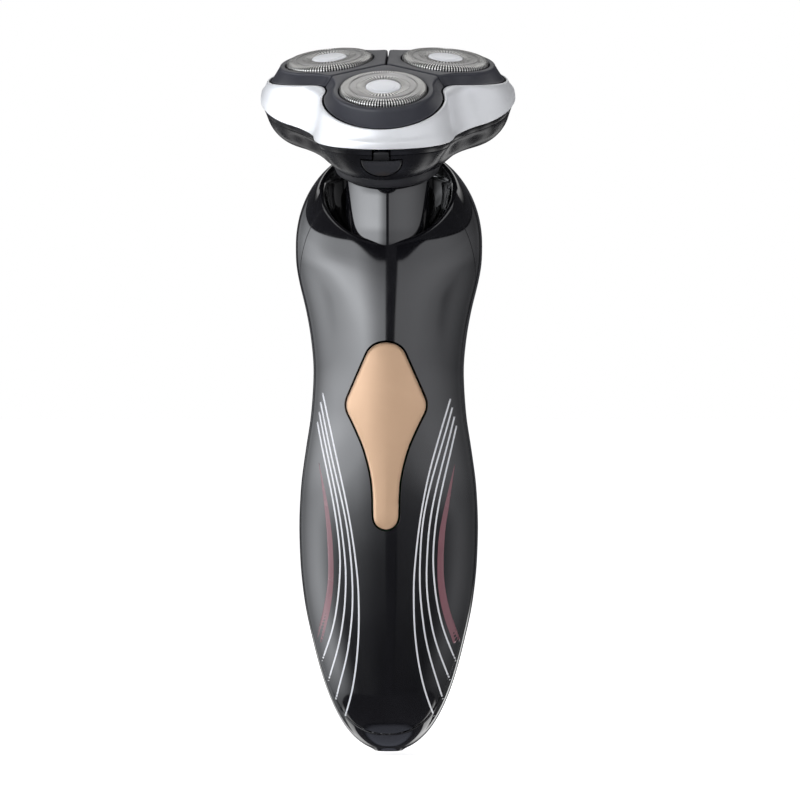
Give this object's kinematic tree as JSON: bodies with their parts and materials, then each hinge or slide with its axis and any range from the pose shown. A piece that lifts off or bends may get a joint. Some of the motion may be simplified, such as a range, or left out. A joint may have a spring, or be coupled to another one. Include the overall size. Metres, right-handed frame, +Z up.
{
  "type": "rotary shaver",
  "caption": "Cordless rotary shaver with a tilting three-lobed cutter head that flips open, a waisted handle and a long push key.",
  "frame": {"origin": "centre of the small flat foot face at the bottom of the handle", "axes": "+Z up the handle, -Y towards the front face with the power key, +X to the right seen from the front"},
  "size_m": [0.0604, 0.0603, 0.169],
  "materials": {
    "gloss_black": "gloss",
    "slate": "satin",
    "silver_trim": "satin",
    "gold_key": "satin",
    "cutter_steel": "brushed",
    "cap_white": "satin",
    "soft_rubber": "matte",
    "frame_plastic": "matte",
    "gear_plastic": "satin",
    "plain_steel": "satin",
    "cell_wrap": "gloss",
    "board_green": "satin",
    "lens": "gloss"
  },
  "bodies": {
    "handle": {"front_panel": "gloss_black", "rear_shell": "gloss_black", "socket_cover": "soft_rubber", "charging_socket": "frame_plastic", "chassis": "frame_plastic", "battery_cell": "cell_wrap", "battery_tab_bottom": "plain_steel", "battery_tab_top": "plain_steel", "circuit_board": "board_green", "tact_switch": "frame_plastic", "charge_indicator": "lens", "neck_collar": "gloss_black", "bellows_ring_lower": "soft_rubber", "motor_mount": "frame_plastic", "motor_screw_1": "plain_steel", "motor_screw_2": "plain_steel", "motor_can": "plain_steel"},
    "key": {"power_key": "gold_key"},
    "rotor": {"motor_shaft": "plain_steel", "drive_coupling": "gear_plastic"},
    "gimbal": {"gimbal_ring": "plain_steel", "bellows_ring_middle": "soft_rubber"},
    "head_base": {"head_housing": "gloss_black", "bellows_ring_upper": "soft_rubber", "gearbox_deck": "frame_plastic", "deck_screw_1": "plain_steel", "deck_screw_2": "plain_steel", "deck_screw_3": "plain_steel", "hinge_pin": "plain_steel"},
    "latch": {"release_latch": "gloss_black"},
    "drive": {"drive_gear": "gear_plastic"},
    "head_cover": {"trim_ring": "silver_trim", "cutter_retainer": "frame_plastic", "retainer_knob": "frame_plastic"},
    "spindle_front": {"spindle_gear_front": "gear_plastic", "spindle_tip_front": "frame_plastic"},
    "float_front": {"pod_front": "slate", "foil_front": "cutter_steel", "foil_cap_front": "cap_white"},
    "blade_front": {"cutter_front": "cutter_steel"},
    "spindle_right": {"spindle_gear_right": "gear_plastic", "spindle_tip_right": "frame_plastic"},
    "float_right": {"pod_right": "slate", "foil_right": "cutter_steel", "foil_cap_right": "cap_white"},
    "blade_right": {"cutter_right": "cutter_steel"},
    "spindle_left": {"spindle_gear_left": "gear_plastic", "spindle_tip_left": "frame_plastic"},
    "float_left": {"pod_left": "slate", "foil_left": "cutter_steel", "foil_cap_left": "cap_white"},
    "blade_left": {"cutter_left": "cutter_steel"}
  },
  "joints": [
    {"name": "key_press", "type": "hinge", "parent": "handle", "child": "key", "pos_m": [0, -0.0132, 0.054], "axis": [-1, 0, 0], "range_deg": [0, 1.9], "stiffness_Nm_per_rad": 0.05},
    {"name": "motor_spin", "type": "hinge", "parent": "handle", "child": "rotor", "pos_m": [0, 0.00128, 0.11542], "axis": [0, -0.3256, 0.9455], "continuous": true},
    {"name": "neck_pitch", "type": "hinge", "parent": "handle", "child": "gimbal", "pos_m": [0, -0.00865, 0.14426], "axis": [1, 0, 0], "range_deg": [-5, 5]},
    {"name": "neck_roll", "type": "hinge", "parent": "gimbal", "child": "head_base", "pos_m": [0, -0.00865, 0.14426], "axis": [0, -0.9455, -0.3256], "range_deg": [-5, 5]},
    {"name": "cover_hinge", "type": "hinge", "parent": "head_base", "child": "head_cover", "pos_m": [0, 0.01196, 0.16088], "axis": [-1, 0, 0], "range_deg": [0, 95]},
    {"name": "latch_press", "type": "hinge", "parent": "head_base", "child": "latch", "pos_m": [0, -0.03692, 0.13696], "axis": [-1, 0, 0], "range_deg": [0, 6], "stiffness_Nm_per_rad": 0.01},
    {"name": "drive_gear_spin", "type": "hinge", "parent": "head_base", "child": "drive", "pos_m": [0, -0.01054, 0.14975], "axis": [0, -0.3256, 0.9455], "continuous": true},
    {"name": "spindle_spin_front", "type": "hinge", "parent": "head_base", "child": "spindle_front", "pos_m": [0, -0.02529, 0.14467], "axis": [0, -0.3256, 0.9455], "continuous": true},
    {"name": "spindle_spin_right", "type": "hinge", "parent": "head_base", "child": "spindle_right", "pos_m": [0.01351, -0.00316, 0.15229], "axis": [0, -0.3256, 0.9455], "continuous": true},
    {"name": "spindle_spin_left", "type": "hinge", "parent": "head_base", "child": "spindle_left", "pos_m": [-0.01351, -0.00316, 0.15229], "axis": [0, -0.3256, 0.9455], "continuous": true},
    {"name": "pod_tilt_front", "type": "hinge", "parent": "head_cover", "child": "float_front", "pos_m": [0, -0.01745, 0.15445], "axis": [1, 0, 0], "range_deg": [0, 3.5]},
    {"name": "cutter_spin_front", "type": "hinge", "parent": "float_front", "child": "blade_front", "pos_m": [0, -0.03013, 0.15749], "axis": [0, -0.4226, 0.9063], "continuous": true},
    {"name": "pod_tilt_right", "type": "hinge", "parent": "head_cover", "child": "float_right", "pos_m": [0.00433, -0.01036, 0.1569], "axis": [-0.5, 0.8188, 0.282], "range_deg": [0, 3.5]},
    {"name": "cutter_spin_right", "type": "hinge", "parent": "float_right", "child": "blade_right", "pos_m": [0.01386, -0.00744, 0.16531], "axis": [0.0905, -0.2744, 0.9574], "continuous": true},
    {"name": "pod_tilt_left", "type": "hinge", "parent": "head_cover", "child": "float_left", "pos_m": [-0.00433, -0.01036, 0.1569], "axis": [-0.5, -0.8188, -0.282], "range_deg": [0, 3.5]},
    {"name": "cutter_spin_left", "type": "hinge", "parent": "float_left", "child": "blade_left", "pos_m": [-0.01386, -0.00744, 0.16531], "axis": [-0.0905, -0.2744, 0.9574], "continuous": true}
  ],
  "couplings": [
    {"joint": "drive_gear_spin", "follows": "motor_spin", "ratio": 1},
    {"joint": "spindle_spin_front", "follows": "motor_spin", "ratio": -0.66667},
    {"joint": "spindle_spin_right", "follows": "motor_spin", "ratio": -0.66667},
    {"joint": "spindle_spin_left", "follows": "motor_spin", "ratio": -0.66667},
    {"joint": "cutter_spin_front", "follows": "motor_spin", "ratio": -0.66667},
    {"joint": "cutter_spin_right", "follows": "motor_spin", "ratio": -0.66667},
    {"joint": "cutter_spin_left", "follows": "motor_spin", "ratio": -0.66667}
  ]
}
